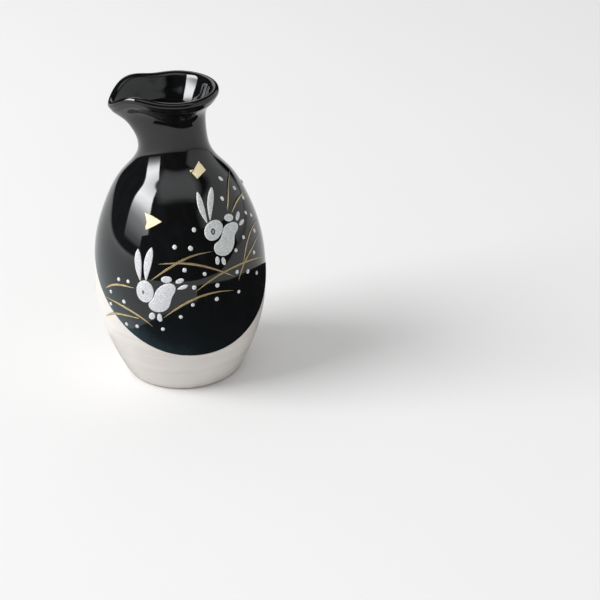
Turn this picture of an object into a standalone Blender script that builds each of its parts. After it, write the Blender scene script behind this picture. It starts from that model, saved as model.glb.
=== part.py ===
"""Sake bottle (tokkuri): a hollow porcelain body under a slant-dipped black glaze, with raised
white enamel rabbits, snow dots and two flakes of gold leaf.

Units are millimetres here and metres in the mesh. The origin is the centre of the foot ring's
standing plane, +Z is up, the decorated front faces -Y and the pouring lip points to -X.
An angle on the bottle is counted in degrees from the front, positive towards +X.
"""
import math

import bmesh
import bpy
import numpy as np

MM = 0.001

# ---------------------------------------------------------------- driving dimensions
SEGMENTS = 44            # facets round the bottle
FOOT_RADIUS = 29.2       # outside of the foot ring
FOOT_RING_WIDTH = 5.0    # standing width of the foot ring
FOOT_RECESS = 3.0        # depth of the hollow under the bottle
FLOOR = 3.6              # thickness of the floor inside the foot ring
WALL = 3.0               # porcelain wall, measured square to the surface
RIM_HEIGHT = 149.6       # crest of the porcelain rim, away from the pouring lip
RIM_RADIUS = 20.9        # radius of that crest
SKIN_GAP = 0.3           # clearance between two layers
GLAZE = 0.5              # thickness of the black glaze coat
ENAMEL_EDGE = 0.35       # height of an enamel stroke at its edge
ENAMEL_CROWN = 0.45      # extra height at its middle
LEAF = 0.25              # thickness of the gold leaf flakes
DOT_RADIUS = 1.15        # snow dot
DOT_HEIGHT = 0.7

# The outside of the porcelain, (radius, height), from the foot ring to the throat of the neck.
OUTSIDE = [(FOOT_RADIUS, 0.0), (31.4, 4.5), (35.2, 13.0), (39.2, 24.5), (41.9, 37.0), (42.8, 51.0),
           (42.1, 65.5), (39.3, 80.0), (34.3, 93.5), (27.4, 105.5), (20.4, 113.3), (16.8, 120.0),
           (15.4, 128.0), (15.2, 134.5), (16.0, 139.5)]
# The flare above the throat and the round rim, as far as the crest.
LIP_OUTSIDE = [(18.2, 142.3), (20.3, 144.2), (21.7, 146.4), (21.9, 148.2), (RIM_RADIUS + 0.5, 149.3),
               (RIM_RADIUS, RIM_HEIGHT)]
# The round rim's inner edge and the funnel down to the end of the glazed throat.
LIP_INSIDE = [(20.0, 149.4), (19.2, 148.8), (18.4, 147.0), (16.6, 143.2), (14.2, 139.2), (12.7, 134.5),
              (12.3, 128.5), (13.2, 122.0)]
# Below the throat the inside follows the outside at these heights, then turns in to the floor.
INSIDE_HEIGHTS = [117.0, 111.5, 105.5, 98.0, 89.0, 79.0, 68.0, 57.0, 46.0, 35.0, 25.0, 17.5, 12.0]
FLOOR_TOP = FOOT_RECESS + FLOOR
INSIDE_BOTTOM = [(27.0, 9.0), (21.0, 7.2), (11.0, FLOOR_TOP)]
# The hollow under the bottle, inside the foot ring.
FOOT_INNER = FOOT_RADIUS - FOOT_RING_WIDTH
FOOT_HOLLOW = [(11.0, FOOT_RECESS), (FOOT_INNER - 1.6, FOOT_RECESS), (FOOT_INNER - 0.5, FOOT_RECESS - 0.8),
               (FOOT_INNER, 0.0)]
# The pouring lip is pulled out of the round rim.
LIP_DIRECTION = -80.0    # angle on the bottle, nearly -X and a little towards the front
LIP_REACH = 8.0          # how far the lip's tip stands out beyond the round rim
LIP_SPREAD = 39.0        # half-angle over which it fades out
LIP_POWER = 1.6          # below 2 the lip is more pointed
LIP_DROOP = 5.2          # how far the tip hangs below the rim
DROOP_SPREAD = 23.5
HORN_HEIGHT = 2.4        # rise of the rim on both sides of the lip
HORN_ANGLE = 33.0
HORN_SPREAD = 25.0
PINCH = 2.0              # finger pinch behind the horns
PINCH_ANGLE = 68.0
PINCH_SPREAD = 27.0
RIM_TILT = 1.3           # the rim's front is lower than its middle by this, its back higher
REACH_START = 116.0      # height where the neck begins to lean out to the lip
DROOP_START = 122.0      # height where it begins to hang
PINCH_START = 130.0      # height where the finger pinch begins

# The dipped edge of the black glaze is a slanted plane: lowest at the front, high at the back.
DIP_DIRECTION = 18.6     # angle on the bottle of its lowest point
DIP_HEIGHT = 61.9        # its height on the bottle's axis
DIP_SLOPE = 0.95         # drop per millimetre towards DIP_DIRECTION
DIP_ROWS = 15            # rows of faces between the dipped edge and DIP_TOP
DIP_TOP = 104.0


# ---------------------------------------------------------------- curves
def smooth_curve(points, steps):
    """Points on a Catmull-Rom curve through the given points, steps per span."""
    pts = np.array(points, float)
    pts = np.vstack([2 * pts[0] - pts[1], pts, 2 * pts[-1] - pts[-2]])
    curve = []
    for i in range(1, len(pts) - 2):
        before, start, end, after = pts[i - 1], pts[i], pts[i + 1], pts[i + 2]
        for t in np.arange(steps) / steps:
            curve.append(0.5 * (2 * start + (end - before) * t
                                + (2 * before - 5 * start + 4 * end - after) * t ** 2
                                + (3 * start - before - 3 * end + after) * t ** 3))
    curve.append(pts[-2])
    return np.array(curve)


def closed_curve(points, count):
    """count points spread evenly on a smooth closed curve through the given points."""
    pts = np.array(points, float)
    ring = smooth_curve(np.vstack([pts[-1:], pts, pts[:2]]), 12)[12:-12]
    length = np.concatenate([[0], np.cumsum(np.linalg.norm(np.diff(ring, axis=0), axis=1))])
    at = np.linspace(0, length[-1], count, endpoint=False)
    return np.column_stack([np.interp(at, length, ring[:, k]) for k in (0, 1)])


def normals(curve):
    """Unit normals on the right-hand side of a (radius, height) curve that runs upwards."""
    along = np.gradient(curve, axis=0)
    along /= np.linalg.norm(along, axis=1)[:, None]
    return np.column_stack([along[:, 1], -along[:, 0]])


def offset(curve, distance):
    return curve + distance * normals(curve)


SKIN = smooth_curve(OUTSIDE, 8)


def skin_radius(height, distance=0.0):
    """Radius of the porcelain's outside at a height, grown square to the surface by distance."""
    grown = offset(SKIN, distance)
    return np.interp(height, grown[:, 1], grown[:, 0])


# ---------------------------------------------------------------- the pouring lip
def smoothstep(value, start, end):
    t = np.clip((value - start) / (end - start), 0, 1)
    return t * t * (3 - 2 * t)


def bump(angle, centre, spread, power=2.0):
    return math.exp(-(abs(angle - centre) / spread) ** power)


def pour(radius, height, angle):
    """Where a point of the round bottle goes when the pouring lip is pulled out and pinched."""
    away = abs((angle - LIP_DIRECTION + 180) % 360 - 180)
    reach = LIP_REACH * bump(away, 0, LIP_SPREAD, LIP_POWER)
    pinch = PINCH * bump(away, PINCH_ANGLE, PINCH_SPREAD)
    lift = HORN_HEIGHT * bump(away, HORN_ANGLE, HORN_SPREAD) - LIP_DROOP * bump(away, 0, DROOP_SPREAD)
    lift -= RIM_TILT * math.cos(math.radians(angle))
    radius = radius + reach * smoothstep(height, REACH_START, RIM_HEIGHT)
    radius = radius - pinch * smoothstep(height, PINCH_START, RIM_HEIGHT)
    height = height + lift * smoothstep(height, DROOP_START, RIM_HEIGHT - 6)
    return radius, height


def place(radius, height, angle):
    """A point on the bottle, in metres."""
    radius, height = pour(radius, height, angle)
    turn = math.radians(angle)
    return (radius * math.sin(turn) * MM, -radius * math.cos(turn) * MM, height * MM)


# ---------------------------------------------------------------- meshes
def finish_object(name, bm, material):
    bmesh.ops.recalc_face_normals(bm, faces=bm.faces)
    mesh = bpy.data.meshes.new(name)
    bm.to_mesh(mesh)
    bm.free()
    mesh.materials.append(material)
    mesh.shade_smooth()
    mesh.set_sharp_from_angle(angle=math.radians(40))
    obj = bpy.data.objects.new(name, mesh)
    bpy.context.scene.collection.objects.link(obj)
    return obj


def bridge(bm, low, high):
    """Quads between two rings of vertices."""
    for i in range(len(low)):
        j = (i + 1) % len(low)
        bm.faces.new((low[i], low[j], high[j], high[i]))


def fan(bm, ring, centre):
    for i in range(len(ring)):
        bm.faces.new((ring[i], ring[(i + 1) % len(ring)], centre))


def ring_angles():
    return [360.0 * i / SEGMENTS for i in range(SEGMENTS)]


def make_body(material):
    """The cup-shaped wall: foot ring, outside, rim, inside, all one turned piece with its lip."""
    outer = list(smooth_curve(OUTSIDE, 2)) + LIP_OUTSIDE
    belly = offset(SKIN, -WALL)
    inner = [(np.interp(h, belly[:, 1], belly[:, 0]), h) for h in INSIDE_HEIGHTS] + INSIDE_BOTTOM
    section = FOOT_HOLLOW + outer + LIP_INSIDE + inner
    bm = bmesh.new()
    rings = []
    for radius, height in section:
        rings.append([bm.verts.new(place(radius, height, a)) for a in ring_angles()])
    for low, high in zip(rings, rings[1:]):
        bridge(bm, low, high)
    fan(bm, rings[0], bm.verts.new((0, 0, FOOT_RECESS * MM)))
    fan(bm, rings[-1], bm.verts.new((0, 0, FLOOR_TOP * MM)))
    return finish_object("porcelain_body", bm, material)


def dip_height(angle):
    """Height of the dipped edge at an angle, where the slanted plane meets the outside."""
    height = DIP_HEIGHT
    for _ in range(40):
        towards = skin_radius(height) * math.cos(math.radians(angle - DIP_DIRECTION))
        height = 0.5 * height + 0.5 * (DIP_HEIGHT - DIP_SLOPE * towards)
    return height


def coat_section(angle):
    """One closed cross-section of the glaze coat: up its inner face, then back down its outer face."""
    low = dip_height(angle)
    rows = [low + (DIP_TOP - low) * i / DIP_ROWS for i in range(DIP_ROWS)]
    outside = smooth_curve(OUTSIDE, 2)
    upper = np.vstack([outside[outside[:, 1] > DIP_TOP], LIP_OUTSIDE, LIP_INSIDE[:-1]])
    square = normals(upper)
    faces = []
    for distance in (SKIN_GAP, SKIN_GAP + GLAZE):
        face = [(skin_radius(h, distance), h) for h in rows]
        face += [tuple(p) for p in upper + distance * square]
        faces.append(face)
    return faces[0] + faces[1][::-1]


def make_coat(material):
    """The black glaze, from the dipped edge over the rim and down into the throat."""
    bm = bmesh.new()
    columns = []
    for angle in ring_angles():
        columns.append([bm.verts.new(place(r, h, angle)) for r, h in coat_section(angle)])
    for i, column in enumerate(columns):
        bridge(bm, column, columns[(i + 1) % len(columns)])
    return finish_object("black_glaze", bm, material)


# ---------------------------------------------------------------- what is painted on
def on_glaze(anchor, across, up, lift):
    """A point lift above the glaze, across and up in millimetres from an (angle, height) anchor."""
    height = anchor[1] + up
    radius = skin_radius(height)
    mean = 0.5 * (radius + skin_radius(anchor[1]))
    angle = anchor[0] + math.degrees(across / mean)
    return place(skin_radius(height, SKIN_GAP + GLAZE + SKIN_GAP + lift), height, angle)


def make_pad(name, anchor, outline, edge, crown, material):
    """A closed pad on the glaze: flat-bottomed, edge high at its rim, edge + crown at its middle."""
    outline = np.array(outline, float)
    middle = outline.mean(axis=0)
    bm = bmesh.new()

    def ring(share, lift):
        return [bm.verts.new(on_glaze(anchor, *(middle + share * (p - middle)), lift)) for p in outline]

    low_middle = bm.verts.new(on_glaze(anchor, *middle, 0.0))
    low_ring = ring(0.5, 0.0)
    foot_ring = ring(1.0, 0.0)
    edge_ring = ring(0.97, edge)
    crown_ring = ring(0.6, edge + 0.8 * crown)
    top = bm.verts.new(on_glaze(anchor, *middle, edge + crown))
    fan(bm, low_ring, low_middle)
    for low, high in ((low_ring, foot_ring), (foot_ring, edge_ring), (edge_ring, crown_ring)):
        bridge(bm, low, high)
    fan(bm, crown_ring, top)
    return finish_object(name, bm, material)


def oval(centre, half_length, half_width, tilt, count):
    """Points of an ellipse whose long axis is tilt degrees from the across direction."""
    turn = math.radians(tilt)
    points = []
    for i in range(count):
        t = 2 * math.pi * i / count
        a, b = half_length * math.cos(t), half_width * math.sin(t)
        points.append((centre[0] + a * math.cos(turn) - b * math.sin(turn),
                       centre[1] + a * math.sin(turn) + b * math.cos(turn)))
    return points


def leaf(base, tip, half_width, bow, count):
    """A leaf from base to tip, widest past its middle, bowed sideways by bow."""
    base, tip = np.array(base, float), np.array(tip, float)
    along = tip - base
    across = np.array([-along[1], along[0]]) / np.linalg.norm(along)
    points = []
    for i in range(count):
        t = 2 * math.pi * i / count
        share = 0.5 - 0.5 * math.cos(t)
        width = half_width * math.sin(t) * (0.72 + 0.5 * share)
        points.append(base + share * along + (width + bow * math.sin(math.pi * share)) * across)
    return points


# Each rabbit is nine enamel strokes, in millimetres from the middle of its head: (across, up).
LOWER_RABBIT = {
    "anchor": (-18.4, 62.0),
    "head": oval((0, 0), 5.6, 4.5, 88, 14),
    "left_ear": leaf((-2.2, 6.1), (-4.3, 20.0), 2.0, 0.3, 14),
    "right_ear": leaf((0.9, 6.2), (3.1, 21.3), 2.0, 0.0, 14),
    "torso": closed_curve([(9.0, 3.9), (13.4, 4.5), (15.0, 1.8), (12.6, -3.6), (10.6, -8.7), (5.6, -10.5),
                           (2.0, -6.9), (4.9, -1.0)], 18),
    "tail": oval((10.5, 6.95), 2.7, 1.7, 2, 10),
    "upper_hind_foot": oval((17.0, 5.6), 2.1, 1.2, 25, 10),
    "lower_hind_foot": oval((18.4, 2.6), 2.5, 0.95, 21, 10),
    "left_front_paw": oval((2.8, -13.1), 2.0, 1.6, 70, 10),
    "right_front_paw": oval((7.1, -13.6), 2.2, 1.35, 105, 10),
}
UPPER_RABBIT = {
    "anchor": (32.0, 89.4),
    "head": oval((0, 0), 4.8, 4.4, 76, 14),
    "left_ear": leaf((-2.2, 4.9), (-3.3, 17.2), 1.5, 0.8, 14),
    "right_ear": leaf((0.2, 5.4), (6.2, 17.4), 1.9, 0.5, 14),
    "torso": closed_curve([(7.0, 0.6), (11.2, 0.6), (14.8, -1.8), (11.6, -5.8), (9.2, -9.8), (4.2, -12.8),
                           (-1.3, -10.3), (-0.6, -6.5), (4.4, -3.4)], 18),
    "tail": oval((10.3, 3.3), 2.8, 1.7, -14, 10),
    "upper_hind_foot": oval((16.3, 2.2), 2.3, 1.1, 37, 10),
    "lower_hind_foot": oval((17.9, -1.5), 2.3, 1.0, 10, 10),
    "left_front_paw": oval((-0.9, -14.6), 1.95, 1.1, 95, 10),
    "right_front_paw": oval((2.5, -15.6), 2.05, 1.1, 98, 10),
}
GOLD_LEAF = {
    "gold_leaf_diamond": ((37.6, 114.0), [(1.3, 3.4), (2.4, 1.3), (3.5, -0.8), (0.6, -1.9), (-2.2, -3.0),
                                          (-3.2, -1.9), (-4.0, -0.7), (-1.3, 1.3)]),
    "gold_leaf_arrow": ((-16.4, 94.8), [(-3.7, 3.7), (0.8, 2.1), (5.3, 0.4), (1.6, -1.7), (-2.0, -3.8),
                                        (-1.7, -0.4)]),
}
# Falling snow, (angle, height), from the right shoulder down to the lower left.
SNOW = [(61, 108), (71, 102), (49, 101), (77, 96), (70, 90), (77, 87), (73, 80), (57, 81), (47, 77), (65, 71),
        (17, 91), (2, 84), (13, 83), (8, 73), (21, 70), (45, 66.5), (55, 64), (65, 60), (29, 63), (13.5, 64),
        (45, 56), (28, 56), (12, 55), (4, 49), (-8, 42), (-26, 41.5), (-34.5, 41), (-35, 53.5), (-31, 65),
        (-39, 64.5), (-47, 56), (-48, 49), (104, 98), (112, 84), (106, 70), (120, 91)]


def make_material(name, colour, roughness, metallic=0.0):
    material = bpy.data.materials.new(name)
    material.use_nodes = True
    shader = material.node_tree.nodes["Principled BSDF"]
    shader.inputs["Base Color"].default_value = (*colour, 1.0)
    shader.inputs["Roughness"].default_value = roughness
    shader.inputs["Metallic"].default_value = metallic
    return material


def make_rabbit(name, strokes, material):
    for stroke, outline in strokes.items():
        if stroke != "anchor":
            make_pad(name + "_" + stroke, strokes["anchor"], outline, ENAMEL_EDGE, ENAMEL_CROWN, material)


def make_dot(name, place_on_bottle, material):
    """A low dome of enamel."""
    bm = bmesh.new()
    rings = []
    for radius, lift in ((DOT_RADIUS, 0.0), (0.7 * DOT_RADIUS, 0.8 * DOT_HEIGHT)):
        outline = oval((0, 0), radius, radius, 0, 8)
        rings.append([bm.verts.new(on_glaze(place_on_bottle, *p, lift)) for p in outline])
    fan(bm, rings[0], bm.verts.new(on_glaze(place_on_bottle, 0, 0, 0.0)))
    bridge(bm, rings[0], rings[1])
    fan(bm, rings[1], bm.verts.new(on_glaze(place_on_bottle, 0, 0, DOT_HEIGHT)))
    return finish_object(name, bm, material)


def main():
    for obj in list(bpy.data.objects):
        bpy.data.objects.remove(obj)
    white = make_material("white_porcelain", (0.80, 0.77, 0.74), 0.35)
    black = make_material("black_glaze", (0.006, 0.008, 0.009), 0.06)
    enamel = make_material("white_enamel", (0.72, 0.75, 0.78), 0.6)
    gold = make_material("gold_leaf", (0.85, 0.62, 0.25), 0.3, 1.0)
    make_body(white)
    make_coat(black)
    make_rabbit("lower_rabbit", LOWER_RABBIT, enamel)
    make_rabbit("upper_rabbit", UPPER_RABBIT, enamel)
    for name, (anchor, outline) in GOLD_LEAF.items():
        make_pad(name, anchor, outline, LEAF, 0.0, gold)
    for number, spot in enumerate(SNOW, start=1):
        make_dot(f"snow_dot_{number:02d}", spot, enamel)


main()
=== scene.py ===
"""Looks of the sake bottle: the fine meshes, the materials, and a plain pale studio.

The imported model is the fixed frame. Each of its nodes is stood for by a finer piece, which is built
by the same rules as the node. The bottle's lengths are millimetres until a mesh is made. Meshes and the
studio are in metres. An angle on the bottle is counted in degrees from the front (-Y), positive
towards +X.
"""

import math
import random

import bpy
import numpy as np
from mathutils import Matrix, Vector
from mathutils.geometry import delaunay_2d_cdt
from mathutils.noise import noise


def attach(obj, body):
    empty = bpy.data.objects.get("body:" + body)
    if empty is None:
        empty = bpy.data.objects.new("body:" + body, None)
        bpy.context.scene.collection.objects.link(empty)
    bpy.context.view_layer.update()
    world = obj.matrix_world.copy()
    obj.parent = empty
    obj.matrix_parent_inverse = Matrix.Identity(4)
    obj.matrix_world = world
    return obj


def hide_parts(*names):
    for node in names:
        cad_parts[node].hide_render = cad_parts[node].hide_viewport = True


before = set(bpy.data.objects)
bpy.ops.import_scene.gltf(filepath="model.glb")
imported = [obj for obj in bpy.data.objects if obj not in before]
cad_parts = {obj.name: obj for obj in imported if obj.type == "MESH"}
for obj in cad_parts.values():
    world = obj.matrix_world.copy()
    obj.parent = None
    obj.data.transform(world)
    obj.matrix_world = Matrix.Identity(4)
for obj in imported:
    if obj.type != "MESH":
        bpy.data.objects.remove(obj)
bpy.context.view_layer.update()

MM = 0.001

# ---------------------------------------------------------------- the bottle's dimensions
SEGMENTS = 216           # columns round the bottle
FOOT_RADIUS = 29.2
FOOT_RING_WIDTH = 5.0
FOOT_RECESS = 3.0
FLOOR = 3.6
WALL = 3.0
RIM_HEIGHT = 149.6
BODY_LIFT = 0.3          # the visible porcelain stands this far outside the CAD's skin
LAYER_GAP = 0.04         # clearance between two layers
GLAZE = 0.26             # thickness of the glaze coat where it is full
ENAMEL_EDGE = 0.34       # height of an enamel stroke just inside its rounded edge
ENAMEL_ROUND = 0.42      # radius of that rounded edge
ENAMEL_CROWN = 0.22      # extra height in the middle
DOT_RADIUS = 1.0
LEAF = 0.1
GRASS_HALF_WIDTH = 0.66
GRASS_LIFT = 0.09
BROAD_BLADE = 1.5        # the two upper blades are this much broader
BROAD_BLADES = (8, 9)

OUTSIDE = [(FOOT_RADIUS, 0.0), (31.4, 4.5), (35.2, 13.0), (39.2, 24.5), (41.9, 37.0), (42.8, 51.0),
           (42.1, 65.5), (39.3, 80.0), (34.3, 93.5), (27.4, 105.5), (20.4, 113.3), (16.8, 120.0),
           (15.4, 128.0), (15.2, 134.5), (16.0, 139.5)]
# The flare above the throat, the crease under the rim and the rim's round bead.
LIP_OUTSIDE = [(18.0, 142.6), (20.0, 144.6), (20.9, 145.7), (21.3, 146.5), (21.9, 147.4), (22.1, 148.4),
               (21.8, 149.2), (21.1, 149.6)]
LIP_INSIDE = [(20.3, 149.5), (19.5, 149.0), (18.5, 147.2), (16.6, 143.2), (14.2, 139.2), (12.7, 134.5),
              (12.3, 128.5), (12.8, 124.5)]
BELLY_BOTTOM = [(27.0, 9.0), (21.0, 7.2), (11.0, FOOT_RECESS + FLOOR), (4.0, FOOT_RECESS + FLOOR)]
INSIDE_TOP = 118.0       # the inside of the belly starts here, under the throat
INSIDE_FOOT = 12.0

LIP_DIRECTION = -80.0
LIP_REACH = 8.0
LIP_SPREAD = 39.0
LIP_POWER = 1.6
LIP_DROOP = 5.2
DROOP_SPREAD = 23.5
HORN_HEIGHT = 2.4
HORN_ANGLE = 33.0
HORN_SPREAD = 25.0
PINCH = 2.0
PINCH_ANGLE = 68.0
PINCH_SPREAD = 27.0
RIM_TILT = 1.3
REACH_START = 116.0
DROOP_START = 122.0
PINCH_START = 130.0

DIP_DIRECTION = 18.6
DIP_HEIGHT = 61.9
DIP_SLOPE = 0.95
DIP_ROWS = 90
DIP_TOP = 104.0
DIP_TAPER = 2.6          # the coat thins out over this height above its dipped edge
DIP_BEAD = 0.07          # and swells by this just above it

GLAZE_END = 126.5        # inside the throat the coat ends at this height
THROAT_TAPER = 4.0       # and thins out over this length
ROW_CROWDING = 1.35      # rows of the coat lie closer together near its dipped edge
TEAL_FADE = 15.0         # the blue-green of the thin glaze fades over this height above the edge and, as painted light, from the lit left side to the shaded right, down to the least share
LIT_SIDE_TEAL_POWER = 1.5         # and from the left side to the right, down to the least share
SHADED_SIDE_TEAL_LEAST = 0.02
PAD_INSETS = (0.07, 0.18, 0.34)  # rings of points this far inside a painted outline
PAD_PITCH = 0.45         # and a lattice of this pitch in the middle
PAD_SPACING = 0.28       # between the points of the outline itself
DOT_HEIGHT = 0.52
EYE_HEIGHT = 0.09
LEAF_CRINKLE = 0.16
LEAF_TEAR = 0.07
GRASS_LEAST = 0.04       # half width at a blade's ends
GRASS_ROWS = 110
GRASS_COLUMNS = 9

# ---------------------------------------------------------------- the studio's dimensions, in metres
BOTTLE_MIDDLE = Vector((0.0, 0.0, 0.075))
FLOOR_SIZE = 16.0
TRAY_SHADE = (0.051, -0.042)     # the middle of a dark round board that only reflections see
TRAY_SHADE_RADIUS = 0.121
TRAY_SHADE_LIFT = 0.0004
TRAY_SHADE_WALL = [(-82, 0.029), (-20, 0.019), (140, 0.019)]   # its rim: degrees from +X, height
FRONT_SHADE = 0.08               # a dark strip this far out, with its edges' (angle, height) stops
FRONT_SHADE_LOW = [(-38, 0.060), (20, 0.0595), (45, 0.062), (72, 0.078)]
FRONT_SHADE_HIGH = [(-38, 0.098), (-16, 0.107), (3, 0.109), (27, 0.107), (72, 0.103)]
SHADE_STEPS = 96
# Softbox faces. The levels are (share of height, strength) stops.
CARDS = {
    "key_card": dict(azimuth=-62.5, elevation=31, distance=1.0, width=0.65, height=0.96, soft=0.05,
                     slant=0.19, levels=[(0.0, 0.6), (0.1, 1.3), (0.18, 2.7), (0.26, 3.9), (0.37, 8.0),
                                         (0.5, 15.5), (0.66, 19.0), (0.8, 16.5), (1.0, 12.0)]),
    "ceiling_card": dict(azimuth=10, elevation=62, distance=1.9, width=2.8, height=1.4, soft=0.2,
                         levels=[(0.0, 0.4), (0.35, 1.1), (1.0, 1.5)]),
    "side_card": dict(azimuth=95, elevation=21, distance=1.2, width=3.2, height=1.25, soft=0.15,
                      levels=[(0.0, 0.72), (0.5, 0.85), (1.0, 0.72)]),
    "back_card": dict(azimuth=195, elevation=36, distance=1.1, width=0.6, height=0.8, soft=0.2,
                      levels=[(0.0, 0.5), (1.0, 2.5)]),
}
CARD_COLOUR = (0.97, 0.985, 1.0, 1.0)
KEY_LIGHT = dict(azimuth=-76, elevation=38, distance=3.0, size=1.9, power=84.0)
SKY_COLOUR = (1.0, 1.0, 0.997, 1.0)
SKY_STRENGTH = 0.62
LENS = 85
SENSOR = 36
CAMERA_PLACE = (0.06055, -0.64638, 0.37014)
CAMERA_LOOKS_DOWN = 27.39
CAMERA_ROLL = -0.436


# ---------------------------------------------------------------- curves
def spline(points, count):
    """count evenly spread points on a natural cubic spline through the given points."""
    pts = np.array(points, float)
    knots = np.concatenate([[0], np.cumsum(np.linalg.norm(np.diff(pts, axis=0), axis=1))])
    gaps = np.diff(knots)
    size = len(pts)
    matrix = np.eye(size)
    right = np.zeros(pts.shape)
    for i in range(1, size - 1):
        matrix[i, i - 1:i + 2] = gaps[i - 1], 2 * (gaps[i - 1] + gaps[i]), gaps[i]
        right[i] = 6 * ((pts[i + 1] - pts[i]) / gaps[i] - (pts[i] - pts[i - 1]) / gaps[i - 1])
    bend = np.linalg.solve(matrix, right)
    at = np.linspace(0, knots[-1], count)
    k = np.clip(np.searchsorted(knots, at, side="right") - 1, 0, size - 2)
    gap = gaps[k][:, None]
    ahead = (knots[k + 1] - at)[:, None]
    behind = (at - knots[k])[:, None]
    return ((bend[k] * ahead ** 3 + bend[k + 1] * behind ** 3) / (6 * gap)
            + (pts[k] / gap - bend[k] * gap / 6) * ahead
            + (pts[k + 1] / gap - bend[k + 1] * gap / 6) * behind)


def lengths(line):
    """Distance along a line at each of its points."""
    return np.concatenate([[0], np.cumsum(np.linalg.norm(np.diff(line, axis=0), axis=1))])


def spread(line, spacing):
    """Points on a closed line, about spacing apart."""
    ring = np.vstack([line, line[:1]])
    length = lengths(ring)
    at = np.linspace(0, length[-1], max(12, round(length[-1] / spacing)), endpoint=False)
    return np.column_stack([np.interp(at, length, ring[:, k]) for k in (0, 1)])


def closed_curve(points):
    """A smooth closed curve through the given points."""
    pts = np.array(points, float)
    ends = 3
    wrapped = np.vstack([pts[-ends:], pts, pts[:ends + 1]])
    knots = lengths(wrapped)
    at = np.linspace(0, knots[-1], 40 * len(wrapped))
    return spline(wrapped, len(at))[(at >= knots[ends]) & (at < knots[ends + len(pts)])]


def normals(curve):
    """Unit normals on the right-hand side of a (radius, height) curve that runs upwards."""
    along = np.gradient(curve, axis=0)
    along /= np.linalg.norm(along, axis=1)[:, None]
    return np.column_stack([along[:, 1], -along[:, 0]])


def offset(curve, distance):
    return curve + np.asarray(distance).reshape(-1, 1) * normals(curve)


def smoothstep(value, start, end):
    t = np.clip((value - start) / (end - start), 0, 1)
    return t * t * (3 - 2 * t)


def bump(value, centre, width, power=2.0):
    return np.exp(-(np.abs(value - centre) / width) ** power)


SKIN = spline(OUTSIDE, 400)
SKIN_SQUARE = normals(SKIN)


def skin_radius(height, distance=0.0):
    """Radius at a height, grown square to the skin by distance, which may differ point by point."""
    height = np.asarray(height, float)
    lean = np.interp(height, SKIN[:, 1], SKIN_SQUARE[:, 0])
    rise = np.interp(height, SKIN[:, 1], SKIN_SQUARE[:, 1])
    foot_point = height - rise * distance
    return np.interp(foot_point, SKIN[:, 1], SKIN[:, 0]) + lean * distance


# ---------------------------------------------------------------- the pouring lip
def pour(radius, height, angle):
    """Where a point of the round bottle goes when the pouring lip is pulled out and pinched."""
    away = np.abs((angle - LIP_DIRECTION + 180) % 360 - 180)
    reach = LIP_REACH * bump(away, 0, LIP_SPREAD, LIP_POWER)
    pinch = PINCH * bump(away, PINCH_ANGLE, PINCH_SPREAD)
    lift = HORN_HEIGHT * bump(away, HORN_ANGLE, HORN_SPREAD) - LIP_DROOP * bump(away, 0, DROOP_SPREAD)
    lift = lift - RIM_TILT * np.cos(np.radians(angle))
    radius = radius + reach * smoothstep(height, REACH_START, RIM_HEIGHT)
    radius = radius - pinch * smoothstep(height, PINCH_START, RIM_HEIGHT)
    height = height + lift * smoothstep(height, DROOP_START, RIM_HEIGHT - 6)
    return radius, height


def place(radius, height, angle):
    """Points on the bottle, in metres."""
    radius, height = pour(radius, height, angle)
    turn = np.radians(angle)
    return np.stack([radius * np.sin(turn), -radius * np.cos(turn), height], axis=-1) * MM


# ---------------------------------------------------------------- the glaze's dipped edge
def solve_dip(angle):
    """Height of the dipped edge at an angle, where the slanted plane meets the outside."""
    height = DIP_HEIGHT
    for _ in range(40):
        towards = skin_radius(height) * math.cos(math.radians(angle - DIP_DIRECTION))
        height = 0.5 * height + 0.5 * (DIP_HEIGHT - DIP_SLOPE * towards)
    wobble = 0.14 * math.sin(math.radians(3 * angle + 40)) + 0.1 * math.sin(math.radians(7 * angle))
    return height + wobble


DIP_ANGLES = np.arange(-180, 181, 2)
DIP_EDGE = np.array([solve_dip(a) for a in DIP_ANGLES])


def dip_height(angle):
    return np.interp((np.asarray(angle) + 180) % 360 - 180, DIP_ANGLES, DIP_EDGE)


def glaze_thickness(above):
    """Thickness of the glaze coat at a height above its dipped edge."""
    full = GLAZE * (0.3 + 0.7 * smoothstep(above, 0, DIP_TAPER))
    return full + DIP_BEAD * bump(above, 0.9, 0.8)


def surface_lift(angle, height):
    """How far the visible surface stands outside the skin: glaze, or bare porcelain below it."""
    above = height - dip_height(angle)
    glazed = BODY_LIFT + LAYER_GAP + glaze_thickness(above)
    return np.where(above > 0, glazed, BODY_LIFT)


def on_surface(angle, height, lift):
    """Points lift above the visible surface, in metres."""
    return place(skin_radius(height, surface_lift(angle, height) + lift), height, angle)


def unrolled(anchor, flat):
    """Angles and heights of points given in millimetres across and up from an (angle, height)."""
    height = anchor[1] + flat[:, 1]
    mean = 0.5 * (skin_radius(height) + skin_radius(anchor[1]))
    return anchor[0] + np.degrees(flat[:, 0] / mean), height


# ---------------------------------------------------------------- meshes
def new_piece(name, points, faces, material, replaced=(), attributes=None):
    """A smooth piece of the bottle, with the nodes that it stands for and its finish's slot."""
    mesh = bpy.data.meshes.new(name)
    mesh.from_pydata([tuple(p) for p in points], [], [tuple(int(i) for i in f) for f in faces])
    for key, values in (attributes or {}).items():
        data = mesh.attributes.new(key, "FLOAT", "POINT").data
        data.foreach_set("value", np.asarray(values, np.float32))
    mesh.validate()
    mesh.shade_smooth()
    mesh.materials.append(material)
    obj = bpy.data.objects.new(name, mesh)
    bpy.context.scene.collection.objects.link(obj)
    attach(obj, "root")
    if replaced:
        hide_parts(*replaced)
    return obj


def grid_faces(rings, count, closed_across=False):
    """Quads of a grid of rings, each with count points and closed on itself."""
    faces = []
    for row in range(rings if closed_across else rings - 1):
        low, high = row * count, (row + 1) % rings * count
        for i in range(count):
            j = (i + 1) % count
            faces.append((low + i, low + j, high + j, high + i))
    return faces


def flipped(faces):
    return [tuple(reversed(f)) for f in faces]


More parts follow.
